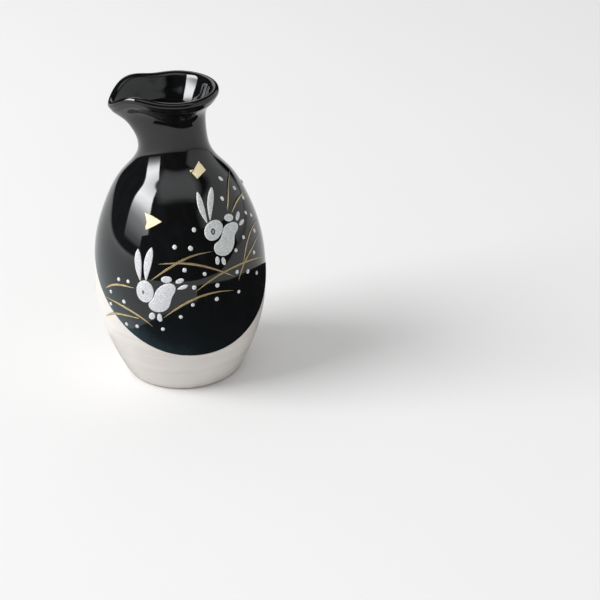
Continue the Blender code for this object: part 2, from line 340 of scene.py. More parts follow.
def ring_angles():
    return np.arange(SEGMENTS) * 360.0 / SEGMENTS


def make_body(material):
    """The whole wall: foot ring, outside, rim, throat and the inside of the belly."""
    foot_inner = FOOT_RADIUS - FOOT_RING_WIDTH
    foot = [(3.0, FOOT_RECESS), (14.0, FOOT_RECESS), (foot_inner - 1.8, FOOT_RECESS),
            (foot_inner - 0.9, FOOT_RECESS - 0.35), (foot_inner - 0.35, FOOT_RECESS - 1.2),
            (foot_inner - 0.1, 0.7), (foot_inner + 0.15, 0.2), (foot_inner + 0.6, 0.0),
            (foot_inner + 2.2, 0.0), (FOOT_RADIUS - 0.9, 0.0), (FOOT_RADIUS - 0.3, 0.14)]
    outer = spline(OUTSIDE + LIP_OUTSIDE + LIP_INSIDE, 520)
    lift = BODY_LIFT * smoothstep(outer[:, 1], 0.0, 2.5)
    rising = np.arange(len(outer)) < np.argmax(outer[:, 1])
    start = rising & (outer[:, 1] < 0.35)
    outer = offset(outer, lift)[~start]
    belly = offset(SKIN, np.full(len(SKIN), -WALL))
    heights = np.linspace(INSIDE_TOP, INSIDE_FOOT, 70)
    inner = [(np.interp(h, belly[:, 1], belly[:, 0]), h) for h in heights] + BELLY_BOTTOM
    section = np.array(foot + [tuple(p) for p in outer] + inner)
    angles = ring_angles()
    points = np.vstack([place(r, h, angles) for r, h in section])
    faces = grid_faces(len(section), SEGMENTS)
    count = len(section) * SEGMENTS
    points = np.vstack([points, [[0, 0, FOOT_RECESS * MM], [0, 0, (FOOT_RECESS + FLOOR) * MM]]])
    last = (len(section) - 1) * SEGMENTS
    for i in range(SEGMENTS):
        j = (i + 1) % SEGMENTS
        faces.append((count, j, i))
        faces.append((count + 1, last + i, last + j))
    return new_piece("bottle_body", points, faces, material, ["porcelain_body"])


def make_coat(material):
    """The black glaze, from its dipped edge over the rim and down into the throat."""
    upper = spline(OUTSIDE + LIP_OUTSIDE + LIP_INSIDE, 520)
    crest = np.argmax(upper[:, 1])
    square = normals(upper)
    keep = (upper[:, 1] > DIP_TOP) & ((np.arange(len(upper)) < crest) | (upper[:, 1] > GLAZE_END))
    along = lengths(upper)[keep]
    to_end = along[-1] - along
    share = (np.arange(DIP_ROWS) / DIP_ROWS) ** ROW_CROWDING
    columns, above_edge = [], []
    for angle in ring_angles():
        low = float(dip_height(angle))
        rows = low + (DIP_TOP - low) * share
        above = rows - low
        inner = BODY_LIFT + LAYER_GAP
        top = inner + glaze_thickness(above)
        throat = inner + GLAZE * (0.3 + 0.7 * smoothstep(to_end, 0, THROAT_TAPER))
        inner_face = np.column_stack([skin_radius(rows, inner), rows])
        outer_face = np.column_stack([skin_radius(rows, top), rows])
        inner_lip = (upper + inner * square)[keep]
        outer_lip = upper[keep] + throat[:, None] * square[keep]
        section = np.vstack([inner_face, inner_lip, outer_lip[::-1], outer_face[::-1]])
        columns.append(place(section[:, 0], section[:, 1], angle))
        height_above = np.concatenate([above, upper[keep][:, 1] - low])
        above_edge.append(np.concatenate([height_above, height_above[::-1]]))
    count = len(columns[0])
    points = np.vstack(columns)
    above_edge = np.concatenate(above_edge)
    turn = np.repeat(ring_angles(), count)
    # Painted light: the thin glaze's blue-green is strongest on the left, where the key light falls, and
    # fades towards the shaded right.
    lit_left_side = 0.5 - 0.5 * np.sin(np.radians(turn))
    thin_glaze_and_lit_side = SHADED_SIDE_TEAL_LEAST + (1 - SHADED_SIDE_TEAL_LEAST) * lit_left_side ** LIT_SIDE_TEAL_POWER
    thin_glaze_and_lit_side = thin_glaze_and_lit_side * np.exp(-np.clip(above_edge, 0, None) / TEAL_FADE)
    faces = flipped(grid_faces(SEGMENTS, count, closed_across=True))
    return new_piece("glaze_coat", points, faces, material, ["black_glaze"], {"thin_glaze_and_lit_side": thin_glaze_and_lit_side})


def distance_to_line(points, ring):
    """Distance of each point from a closed line."""
    start, end = ring, np.roll(ring, -1, axis=0)
    step = end - start
    rel = points[:, None] - start[None]
    t = np.clip((rel * step).sum(2) / (step ** 2).sum(1), 0, 1)
    return np.linalg.norm(rel - t[..., None] * step, axis=2).min(1)


def is_inside(points, ring):
    """Whether each point is inside a closed line, by counting the crossings to its right."""
    start, end = ring, np.roll(ring, -1, axis=0)
    x, y = points[:, :1], points[:, 1:]
    crosses = (start[:, 1] > y) != (end[:, 1] > y)
    rise = np.where(end[:, 1] == start[:, 1], 1e-12, end[:, 1] - start[:, 1])
    at = start[:, 0] + (y - start[:, 1]) / rise * (end[:, 0] - start[:, 0])
    return ((crosses & (x < at)).sum(1) % 2).astype(bool)


def fill(outline, insets, pitch):
    """Triangles inside an outline: its own points first, then rings at the insets, then a lattice."""
    after = np.roll(outline, -1, axis=0)
    twice_area = (outline[:, 0] * after[:, 1] - outline[:, 1] * after[:, 0]).sum()
    if twice_area < 0:
        outline = outline[::-1]
    along = np.roll(outline, -1, axis=0) - np.roll(outline, 1, axis=0)
    along /= np.linalg.norm(along, axis=1)[:, None]
    inward = np.column_stack([-along[:, 1], along[:, 0]])
    loose = []
    for inset in insets:
        ring = outline + inset * inward
        ring = ring[is_inside(ring, outline)]
        loose.append(ring[distance_to_line(ring, outline) > 0.93 * inset])
    low, high = outline.min(0), outline.max(0)
    rows = np.arange(low[1], high[1], pitch * math.sqrt(3) / 2)
    lattice = [(x + 0.5 * pitch * (k % 2), y) for k, y in enumerate(rows)
               for x in np.arange(low[0], high[0], pitch)]
    lattice = np.array(lattice)
    lattice = lattice[is_inside(lattice, outline)]
    loose.append(lattice[distance_to_line(lattice, outline) > insets[-1] + 0.5 * pitch])
    points = np.vstack([outline] + loose)
    made = delaunay_2d_cdt([Vector(p) for p in points], [], [list(range(len(outline)))], 1, 1e-7)
    return np.array([tuple(v) for v in made[0]]), made[2]


def make_pad(name, anchor, outline, height_at, base, material, replaced=(), pitch=PAD_PITCH,
             spacing=PAD_SPACING):
    """A closed pad on the bottle. height_at(depth, flat) gives its height at flat points, which lie
    depth inside the outline."""
    ring = spread(np.array(outline, float), spacing)
    flat, triangles = fill(ring, PAD_INSETS, pitch)
    depth = distance_to_line(flat, ring)
    angle, height = unrolled(anchor, flat)
    top = on_surface(angle, height, base + height_at(depth, flat))
    under = on_surface(angle, height, np.full(len(flat), base))
    border = depth < 1e-4
    low_index = np.where(border, np.arange(len(flat)), np.arange(len(flat)) + len(flat))
    points = np.vstack([top, under])
    faces = [tuple(f) for f in triangles] + [tuple(low_index[i] for i in reversed(f)) for f in triangles]
    used = np.concatenate([np.ones(len(flat), bool), ~border])
    renumber = np.cumsum(used) - 1
    faces = [tuple(renumber[i] for i in f) for f in faces]
    attributes = {"rim": np.concatenate([depth, depth])[used],
                  "across": np.concatenate([flat[:, 0], flat[:, 0]])[used],
                  "up": np.concatenate([flat[:, 1], flat[:, 1]])[used]}
    return new_piece(name, points[used], faces, material, replaced, attributes)


# ---------------------------------------------------------------- outlines of what is painted
def oval(centre, half_length, half_width, tilt, count=48):
    """Points of an ellipse whose long axis is tilt degrees from the across direction."""
    turn = math.radians(tilt)
    t = np.arange(count) * 2 * math.pi / count
    a, b = half_length * np.cos(t), half_width * np.sin(t)
    return np.column_stack([centre[0] + a * math.cos(turn) - b * math.sin(turn),
                            centre[1] + a * math.sin(turn) + b * math.cos(turn)])


def leaf(base, tip, half_width, bow, count=96):
    """A pointed leaf from base to tip, widest past its middle, bowed sideways by bow."""
    base, tip = np.array(base, float), np.array(tip, float)
    along = tip - base
    across = np.array([-along[1], along[0]]) / np.linalg.norm(along)
    t = np.arange(count) * 2 * math.pi / count
    share = 0.5 - 0.5 * np.cos(t)
    width = half_width * np.sin(t) * np.abs(np.sin(t)) ** 0.45 * (0.62 + 0.62 * share)
    return base + share[:, None] * along + (width + bow * np.sin(math.pi * share))[:, None] * across


# Each rabbit is nine enamel strokes, in millimetres from the middle of its head: (across, up).
LOWER_RABBIT = {
    "head": oval((-0.2, -0.4), 5.7, 4.45, 88),
    "left_ear": leaf((-2.5, 4.7), (-4.4, 20.0), 1.95, 0.3),
    "right_ear": leaf((0.4, 5.1), (2.9, 21.5), 2.05, 0.5),
    "torso": closed_curve([(9.7, 4.3), (12.6, 4.7), (14.6, 3.2), (14.6, 0.9), (12.9, -2.6), (12.0, -6.0),
                           (10.2, -9.0), (6.4, -10.6), (2.9, -9.8), (1.4, -7.2), (3.5, -3.6), (5.3, 0.4)]),
    "tail": oval((10.5, 6.6), 2.6, 1.65, 2),
    "upper_hind_foot": oval((16.8, 5.8), 2.1, 1.15, 20),
    "lower_hind_foot": leaf((15.5, 1.7), (20.7, 3.4), 1.05, 0.0),
    "left_front_paw": oval((2.8, -13.1), 2.0, 1.5, 65),
    "right_front_paw": closed_curve([(6.4, -11.3), (7.5, -12.2), (7.7, -13.6), (7.8, -14.9), (6.6, -15.8),
                                     (5.5, -15.0), (5.4, -13.0)]),
}
UPPER_RABBIT = {
    "head": closed_curve([(1.2, 4.1), (4.4, 3.0), (5.4, 0.8), (3.3, -2.8), (0.4, -4.5), (-3.1, -4.1),
                          (-4.7, -1.5), (-3.5, 2.1)]),
    "left_ear": leaf((-2.3, 3.4), (-3.2, 17.0), 1.7, 0.7),
    "right_ear": leaf((-0.6, 4.3), (6.2, 17.3), 1.7, 1.1),
    "torso": closed_curve([(9.0, 0.6), (12.5, 0.2), (14.6, -1.4), (13.9, -3.4), (11.3, -5.2), (10.0, -8.1),
                           (8.2, -11.0), (4.6, -12.9), (0.6, -12.1), (-1.4, -9.3), (-0.6, -6.5), (2.0, -5.2),
                           (4.0, -2.7), (5.8, -0.3)]),
    "tail": oval((10.2, 2.9), 2.8, 1.7, -12),
    "upper_hind_foot": oval((16.4, 1.7), 2.4, 1.15, 38),
    "lower_hind_foot": oval((17.9, -1.8), 2.35, 0.95, 11),
    "left_front_paw": oval((-0.7, -14.3), 2.0, 1.05, 85),
    "right_front_paw": oval((2.3, -15.4), 2.0, 1.05, 98),
}
RABBITS = {"lower_rabbit": ((-18.4, 62.0), LOWER_RABBIT), "upper_rabbit": ((32.0, 89.4), UPPER_RABBIT)}
EYES = {"lower_rabbit": oval((-0.9, -0.6), 1.15, 0.8, 90), "upper_rabbit": oval((-0.5, -0.5), 1.6, 1.2, 80)}

GOLD_LEAF = {
    "gold_leaf_diamond": ((37.6, 114.0), [(1.7, 3.6), (2.9, 1.4), (3.8, -0.8), (0.7, -1.8), (-2.4, -3.1),
                                          (-3.1, -1.6), (-3.8, -0.5), (-1.2, 1.5)]),
    "gold_leaf_arrow": ((-16.4, 94.8), [(-3.9, 3.7), (0.8, 2.4), (5.3, 0.3), (1.9, -1.7), (-2.0, -3.9),
                                        (-2.6, -2.9), (-2.1, -0.6), (-2.9, 1.5)]),
}
LEAF_CRUMB = ((37.6, 114.0), [(-4.4, 0.8), (-2.7, 0.9), (-3.2, 0.2), (-4.3, -0.2)])
SNOW = [(61, 108), (71, 102), (49, 101), (77, 96), (70, 90), (77, 87), (73, 80), (57, 81), (47, 77), (65, 71),
        (17, 91), (2, 84), (13, 83), (8, 73), (21, 70), (45, 66.5), (55, 64), (65, 60), (29, 63), (13.5, 64),
        (45, 56), (28, 56), (12, 55), (4, 49), (-8, 42), (-26, 41.5), (-34.5, 41), (-35, 53.5), (-31, 65),
        (-39, 64.5), (-47, 56), (-48, 49), (104, 98), (112, 84), (106, 70), (120, 91)]
# Blades of gold grass, (angle, height) along each: its root first.
GRASS = [
    [(-14.7, 67.5), (-7.1, 71.7), (4.7, 76.9), (16.0, 79.6), (28.3, 79.9)],
    [(-9.6, 75.9), (3.9, 76.4), (17.9, 74.5), (29.7, 70.7), (43.2, 64.3)],
    [(14.1, 61.6), (24.5, 66.1), (36.9, 68.9), (51.5, 69.3), (69.6, 66.4), (84.0, 61.5)],
    [(-7.0, 48.5), (3.3, 54.2), (15.5, 58.5), (28.2, 59.6), (41.3, 57.7)],
    [(-53.3, 56.1), (-44.4, 60.3), (-35.2, 62.1), (-26.2, 62.3)],
    [(-14.6, 42.9), (-20.3, 46.2), (-29.3, 49.3), (-41.9, 51.3), (-54.1, 51.3)],
    [(-58.6, 38.5), (-45.7, 44.2), (-34.8, 46.0), (-23.9, 46.3)],
    [(49.4, 95.3), (62.8, 103.5), (88.0, 107.5)],
    [(52.3, 93.5), (64.1, 96.5), (85.1, 97.1)],
    [(51.3, 68.7), (57.6, 76.1), (67.5, 81.1), (87.4, 81.8)],
    [(45.4, 61.7), (51.8, 68.5), (61.6, 72.9), (80.0, 77.2)],
]


def enamel_height(depth, flat):
    """A thick brush stroke: a rounded edge, a slight roll just inside it and a low uneven crown."""
    edge = np.clip(depth / ENAMEL_ROUND, 0, 1)
    height = ENAMEL_EDGE * np.sqrt(1 - (1 - edge) ** 2) + 0.05 * bump(depth, 0.5, 0.3)
    height = height + ENAMEL_CROWN * smoothstep(depth, 0.2, 3.2)
    uneven = np.array([noise(Vector((x * 0.9, y * 0.9, 3.0))) for x, y in flat])
    return height + 0.045 * uneven * smoothstep(depth, 0.0, 0.8)


def make_rabbit(name, anchor, strokes, enamel, eye):
    """A rabbit's enamel strokes, and its eye painted on the head."""
    for stroke, outline in strokes.items():
        node = f"{name}_{stroke}"
        make_pad(node + "_enamel", anchor, outline, enamel_height, 0.0, enamel, [node])
    rest = ENAMEL_EDGE + 0.7 * ENAMEL_CROWN

    def eye_height(depth, flat):
        return EYE_HEIGHT * smoothstep(depth, 0.0, 0.2)

    make_pad(name + "_eye", anchor, EYES[name], eye_height, rest, eye, pitch=0.2, spacing=0.12)


def make_leaf(name, anchor, outline, material, replaced=()):
    """A torn flake of gold leaf, finely crinkled, lying on the glaze."""
    corners = np.array(outline, float)
    torn = []
    for k, corner in enumerate(corners):
        after = corners[(k + 1) % len(corners)]
        for share in np.arange(6) / 6:
            point = corner + share * (after - corner)
            tear = LEAF_TEAR * noise(Vector((*(point * 2.3), 9.0)))
            torn.append(point + tear)

    def crinkled(depth, flat):
        folds = [abs(noise(Vector((1.3 * x + 0.5 * y, 1.3 * y - 0.5 * x, 5.0)))) for x, y in flat]
        return smoothstep(depth, 0, 0.1) * (LEAF + LEAF_CRINKLE * np.array(folds))

    make_pad(name, anchor, torn, crinkled, 0.0, material, replaced, pitch=0.24, spacing=0.2)


def make_snow(material):
    """Drops of white enamel: low domes, no two of one size."""
    drops = random.Random(11)
    for number, spot in enumerate(SNOW, start=1):
        size = DOT_RADIUS * drops.uniform(0.9, 1.1)
        outline = oval((0, 0), size * drops.uniform(1.0, 1.12), size, drops.uniform(50, 130))
        node = f"snow_dot_{number:02d}"

        def dome(depth, flat, size=size):
            share = np.clip(depth / size, 0, 1)
            return DOT_HEIGHT * np.sqrt(1 - (1 - share) ** 2.2)

        make_pad(node + "_enamel", spot, outline, dome, 0.0, material, [node],
                 pitch=0.26, spacing=0.22)


def make_grass(name, route, material, half_width):
    """A brushed blade of gold, pointed at both ends, with a thin rounded section."""
    to_millimetres = (0.7, 1.0)      # a degree is about 0.7 mm across
    line = spline(np.array(route) * to_millimetres, GRASS_ROWS) / to_millimetres
    angle, height = line[:, 0], line[:, 1]
    middle = on_surface(angle, height, 0.0)
    ahead = np.gradient(middle, axis=0)
    ahead /= np.linalg.norm(ahead, axis=1)[:, None]
    outward = on_surface(angle, height, 1.0) - middle
    outward /= np.linalg.norm(outward, axis=1)[:, None]
    side = np.cross(ahead, outward)
    share = np.linspace(0, 1, GRASS_ROWS)
    seed = sum(route[0])
    wander = np.array([noise(Vector((seed, 9 * s, 1.0))) for s in share])
    half = half_width * np.sin(math.pi * share ** 0.85) ** 0.75 * (1 + 0.22 * wander)
    half = np.maximum(half, GRASS_LEAST)
    across = np.linspace(-1, 1, GRASS_COLUMNS)
    sections = []
    for edge_first, lifted in ((across, True), (across[::-1][1:-1], False)):
        for c in edge_first:
            lift = GRASS_LIFT * math.sqrt(max(0.0, 1 - c * c)) if lifted else 0.0
            sections.append((c, middle + side * (half * c * MM)[:, None] + outward * ((0.02 + lift) * MM)))
    count = len(sections)
    points = np.stack([s[1] for s in sections], axis=1).reshape(-1, 3)
    faces = flipped(grid_faces(GRASS_ROWS, count))
    faces.append(tuple(range(count)))
    faces.append(tuple(reversed(range((GRASS_ROWS - 1) * count, GRASS_ROWS * count))))
    length = lengths(middle) / MM
    attributes = {"along": np.repeat(length, count), "side": np.tile([s[0] for s in sections], GRASS_ROWS)}
    return new_piece(name, points, faces, material, attributes=attributes)


# ---------------------------------------------------------------- materials
def add(tree, kind, values=None, **settings):
    """A new node. values sets or links its input sockets, settings its other properties."""
    made = tree.nodes.new(kind)
    for key, value in settings.items():
        setattr(made, key, value)
    for socket, value in (values or {}).items():
        if isinstance(value, bpy.types.NodeSocket):
            tree.links.new(value, made.inputs[socket])
        else:
            made.inputs[socket].default_value = value
    return made


def new_material(name):
    """A material, its node tree, its shader and its object coordinates, in metres."""
    material = bpy.data.materials.new(name)
    material.use_nodes = True
    tree = material.node_tree
    shader = tree.nodes["Principled BSDF"]
    place_on = add(tree, "ShaderNodeTexCoord").outputs["Object"]
    return material, tree, shader, place_on


def scaled(tree, vector, scale):
    return add(tree, "ShaderNodeMapping", {"Vector": vector, "Scale": scale}).outputs["Vector"]


def mottle(tree, vector, scale, detail=3.0, roughness=0.55):
    """Noise from 0 to 1. At scale 1 a blotch is about one unit of the vector across."""
    return add(tree, "ShaderNodeTexNoise", {"Vector": vector, "Scale": scale, "Detail": detail,
                                            "Roughness": roughness}).outputs["Fac"]


def ramp(tree, factor, stops):
    """A colour ramp from (position, colour) stops."""
    made = add(tree, "ShaderNodeValToRGB", {"Fac": factor})
    elements = made.color_ramp.elements
    while len(elements) < len(stops):
        elements.new(1.0)
    for element, (position, colour) in zip(elements, stops):
        element.position = position
        element.color = (*colour, 1.0) if isinstance(colour, tuple) else (colour, colour, colour, 1.0)
    return made.outputs["Color"]


def ranged(tree, value, low, high, to_low, to_high):
    """The value, moved from the range low to high into the range to_low to to_high."""
    return add(tree, "ShaderNodeMapRange", {"Value": value, "From Min": low, "From Max": high,
                                            "To Min": to_low, "To Max": to_high}).outputs["Result"]


def calc(tree, operation, a, b):
    made = add(tree, "ShaderNodeMath", operation=operation)
    for socket, value in enumerate((a, b)):
        if isinstance(value, bpy.types.NodeSocket):
            tree.links.new(value, made.inputs[socket])
        else:
            made.inputs[socket].default_value = value
    return made.outputs["Value"]


def blend(tree, factor, a, b):
    """Colour a where the factor is 0 and b where it is 1."""
    made = add(tree, "ShaderNodeMix", {"Factor": factor}, data_type="RGBA")
    for socket, value in ((6, a), (7, b)):
        if isinstance(value, bpy.types.NodeSocket):
            tree.links.new(value, made.inputs[socket])
        else:
            made.inputs[socket].default_value = (*value, 1.0)
    return made.outputs[2]


def attribute(tree, name):
    return add(tree, "ShaderNodeAttribute", attribute_name=name).outputs["Fac"]


def relief(tree, height, distance, strength, under=None):
    """A bumpy normal, on top of the one under it."""
    values = {"Height": height, "Distance": distance, "Strength": strength}
    if under is not None:
        values["Normal"] = under
    return add(tree, "ShaderNodeBump", values).outputs["Normal"]


def finish(tree, shader, values):
    """Sets or links the shader's sockets."""
    for socket, value in values.items():
        if isinstance(value, bpy.types.NodeSocket):
            tree.links.new(value, shader.inputs[socket])
        else:
            shader.inputs[socket].default_value = value


def glaze_material():
    """Glossy black glaze, blue-green where it runs thin towards the dipped edge; the stronger blue-green on
    the lit left side is painted light.
    """
    material, tree, shader, place_on = new_material("black_glaze_finish")
    cloud = mottle(tree, place_on, 55.0)
    # The attribute holds the real thinning of the glaze times a painted lit-side share.
    thin_glaze_and_lit_side = calc(tree, "MULTIPLY", attribute(tree, "thin_glaze_and_lit_side"), ranged(tree, cloud, 0.3, 0.7, 0.7, 1.3))
    colour = ramp(tree, thin_glaze_and_lit_side, [(0.0, (0.0052, 0.0052, 0.0055)), (0.2, (0.0085, 0.0125, 0.0145)),
                               (0.5, (0.0230, 0.0370, 0.0450)), (0.8, (0.0320, 0.0600, 0.0650)),
                               (1.0, (0.0450, 0.0900, 0.0880))])
    streaks = mottle(tree, scaled(tree, place_on, (260.0, 260.0, 16.0)), 1.0, 2.0)
    colour = blend(tree, ranged(tree, streaks, 0.45, 0.8, 0.0, 0.5), colour, (0.0100, 0.0115, 0.0130))
    smear = mottle(tree, place_on, 38.0, 4.0)
    rough = ranged(tree, smear, 0.35, 0.75, 0.035, 0.075)
    waves = mottle(tree, place_on, 70.0, 1.5)
    orange_peel = mottle(tree, place_on, 420.0, 1.0)
    surface = relief(tree, waves, 0.00012, 0.35)
    surface = relief(tree, orange_peel, 0.00001, 0.3, surface)
    finish(tree, shader, {"Base Color": colour, "Roughness": rough, "Normal": surface, "IOR": 1.52})
    return material


def porcelain_material():
    """Satin warm-white porcelain with faint throwing lines, bare and rougher on the foot ring."""
    material, tree, shader, place_on = new_material("white_porcelain_finish")
    height = add(tree, "ShaderNodeSeparateXYZ", {"Vector": place_on}).outputs["Z"]
    rings = mottle(tree, scaled(tree, place_on, (7.0, 7.0, 520.0)), 1.0, 4.0, 0.6)
    broad = mottle(tree, scaled(tree, place_on, (9.0, 9.0, 90.0)), 1.0, 2.0)
    cloud = mottle(tree, place_on, 60.0)
    colour = ramp(tree, rings, [(0.25, (0.650, 0.610, 0.570)), (0.5, (0.725, 0.695, 0.660)),
                                (0.8, (0.775, 0.752, 0.725))])
    colour = blend(tree, ranged(tree, broad, 0.35, 0.7, 0.0, 0.45), colour, (0.67, 0.61, 0.565))
    colour = blend(tree, ranged(tree, cloud, 0.5, 0.75, 0.0, 0.35), colour, (0.79, 0.775, 0.755))
    pits = add(tree, "ShaderNodeTexVoronoi", {"Vector": place_on, "Scale": 330.0}).outputs["Distance"]
    speck = calc(tree, "MULTIPLY", calc(tree, "LESS_THAN", pits, 0.07),
                 calc(tree, "GREATER_THAN", mottle(tree, place_on, 150.0), 0.56))
    colour = blend(tree, calc(tree, "MULTIPLY", speck, 0.5), colour, (0.40, 0.33, 0.26))
    edge = calc(tree, "ADD", height, ranged(tree, cloud, 0.0, 1.0, -0.0006, 0.0006))
    bare = ranged(tree, edge, 0.0010, 0.0015, 1.0, 0.0)
    grain = mottle(tree, place_on, 2600.0, 2.0)
    clay = ramp(tree, grain, [(0.3, (0.55, 0.47, 0.39)), (0.7, (0.68, 0.61, 0.53))])
    colour = blend(tree, bare, colour, clay)
    rough = calc(tree, "ADD", ranged(tree, cloud, 0.3, 0.7, 0.30, 0.40),
                 calc(tree, "MULTIPLY", bare, 0.45))
    surface = relief(tree, rings, 0.00005, 0.5)
    surface = relief(tree, grain, 0.00003, 0.35, surface)
    finish(tree, shader, {"Base Color": colour, "Roughness": rough, "Normal": surface, "IOR": 1.5})
    return material


def enamel_material(name, middle, rim_colour):
    """Matt white enamel: granular, brightest along its rolled edge, brushed thin in the middle."""
    material, tree, shader, place_on = new_material(name)
    rim = attribute(tree, "rim")
    flat = add(tree, "ShaderNodeCombineXYZ", {"X": attribute(tree, "across"), "Y": attribute(tree, "up")})
    strokes = mottle(tree, scaled(tree, flat.outputs["Vector"], (2.4, 0.45, 1.0)), 1.0, 3.0)
    grain = mottle(tree, place_on, 1900.0, 3.0, 0.75)
    inner = ranged(tree, rim, 0.3, 0.9, 0.0, 1.0)
    body = blend(tree, ranged(tree, strokes, 0.35, 0.65, 0.0, 1.0), middle,
                 tuple(0.5 * (a + b) for a, b in zip(middle, rim_colour)))
    colour = blend(tree, inner, rim_colour, body)
    colour = blend(tree, ranged(tree, grain, 0.40, 0.60, 0.8, 0.0), colour, tuple(0.55 * c for c in middle))
    surface = relief(tree, grain, 0.00012, 0.7)
    surface = relief(tree, strokes, 0.00010, 0.5, surface)
    finish(tree, shader, {"Base Color": colour, "Roughness": ranged(tree, grain, 0.3, 0.7, 0.5, 0.7),
                          "Normal": surface, "Specular IOR Level": 0.4})
    return material


def eye_material(name, ring, pupil):
    """A painted ring round a small pupil."""
    material, tree, shader, place_on = new_material(name)
    grain = mottle(tree, place_on, 2200.0, 2.0)
    rim = calc(tree, "ADD", attribute(tree, "rim"), ranged(tree, grain, 0.0, 1.0, -0.08, 0.08))
    soft_edge = tuple(0.3 + 0.6 * c for c in ring)
    colour = ramp(tree, rim, [(0.0, soft_edge), (0.16, ring), (0.62, ring), (0.8, pupil)])
    finish(tree, shader, {"Base Color": colour, "Roughness": ranged(tree, grain, 0.3, 0.7, 0.35, 0.55),
                          "Normal": relief(tree, grain, 0.00003, 0.5)})
    return material


def grass_material():
    """Gold paint laid on with a fine brush: streaks along the blade, thin and brown at its edges."""
    material, tree, shader, place_on = new_material("gold_grass_finish")
    along = attribute(tree, "along")
    side = attribute(tree, "side")
    flat = add(tree, "ShaderNodeCombineXYZ", {"X": calc(tree, "MULTIPLY", along, 0.35),
                                              "Y": calc(tree, "MULTIPLY", side, 4.5)})
    streaks = mottle(tree, flat.outputs["Vector"], 1.0, 3.0, 0.6)
    grain = mottle(tree, place_on, 2600.0, 2.0)
    edge = ranged(tree, calc(tree, "ABSOLUTE", side, 0.0), 0.45, 1.0, 0.0, 1.0)
    colour = ramp(tree, streaks, [(0.3, (0.34, 0.25, 0.110)), (0.5, (0.60, 0.48, 0.25)),
                                  (0.7, (0.88, 0.78, 0.50))])
    colour = blend(tree, calc(tree, "MULTIPLY", edge, 0.85), colour, (0.15, 0.10, 0.045))
    colour = blend(tree, ranged(tree, grain, 0.4, 0.65, 0.35, 0.0), colour, (0.30, 0.19, 0.08))
    surface = relief(tree, streaks, 0.00006, 0.6)
    surface = relief(tree, grain, 0.00003, 0.5, surface)
    finish(tree, shader, {"Base Color": colour, "Metallic": 0.55,
                          "Roughness": ranged(tree, streaks, 0.3, 0.7, 0.5, 0.36), "Normal": surface})
    return material


def leaf_material():
    """Bright pale gold leaf with a fine quilt of crinkles."""
    material, tree, shader, place_on = new_material("gold_leaf_finish")
    flat = add(tree, "ShaderNodeCombineXYZ", {"X": attribute(tree, "across"), "Y": attribute(tree, "up")})
    quilt = add(tree, "ShaderNodeTexVoronoi", {"Vector": flat.outputs["Vector"], "Scale": 2.1,
                                               "Randomness": 0.75}).outputs["Distance"]
    crinkle = mottle(tree, flat.outputs["Vector"], 3.2, 4.0, 0.65)
    colour = ramp(tree, crinkle, [(0.3, (1.0, 0.80, 0.42)), (0.5, (1.0, 0.90, 0.57)),
                                  (0.72, (1.0, 0.97, 0.78))])
    specks = mottle(tree, flat.outputs["Vector"], 6.5, 2.0, 0.7)
    colour = blend(tree, ranged(tree, specks, 0.36, 0.52, 0.5, 0.0), colour, (0.66, 0.44, 0.17))
    edge = ranged(tree, attribute(tree, "rim"), 0.0, 0.3, 0.6, 0.0)
    colour = blend(tree, edge, colour, (0.62, 0.42, 0.16))
    surface = relief(tree, quilt, 0.00022, 0.8)
    surface = relief(tree, crinkle, 0.00018, 0.8, surface)
    finish(tree, shader, {"Base Color": colour, "Metallic": 0.12,
                          "Roughness": ranged(tree, crinkle, 0.3, 0.7, 0.5, 0.36), "Normal": surface})
    return material


# ---------------------------------------------------------------- the studio
def stage_mesh(name, points, faces, material):
    mesh = bpy.data.meshes.new(name)
    mesh.from_pydata(points, [], faces)
    mesh.materials.append(material)
    obj = bpy.data.objects.new(name, mesh)
    bpy.context.scene.collection.objects.link(obj)
    return obj


def only_in_reflections(obj):
    obj.visible_camera = False
    obj.visible_diffuse = False
    obj.visible_transmission = False
    obj.visible_shadow = False


def make_floor():
    material, tree, shader, place_on = new_material("pale_floor")
    tone = mottle(tree, place_on, 3.0)
    colour = ramp(tree, tone, [(0.3, 0.80), (0.7, 0.812)])
    finish(tree, shader, {"Base Color": colour, "Roughness": 0.9, "Specular IOR Level": 0.0})
    half = FLOOR_SIZE / 2
    corners = [(-half, -half, 0), (half, -half, 0), (half, half, 0), (-half, half, 0)]
    stage_mesh("floor", corners, [(0, 1, 2, 3)], material)


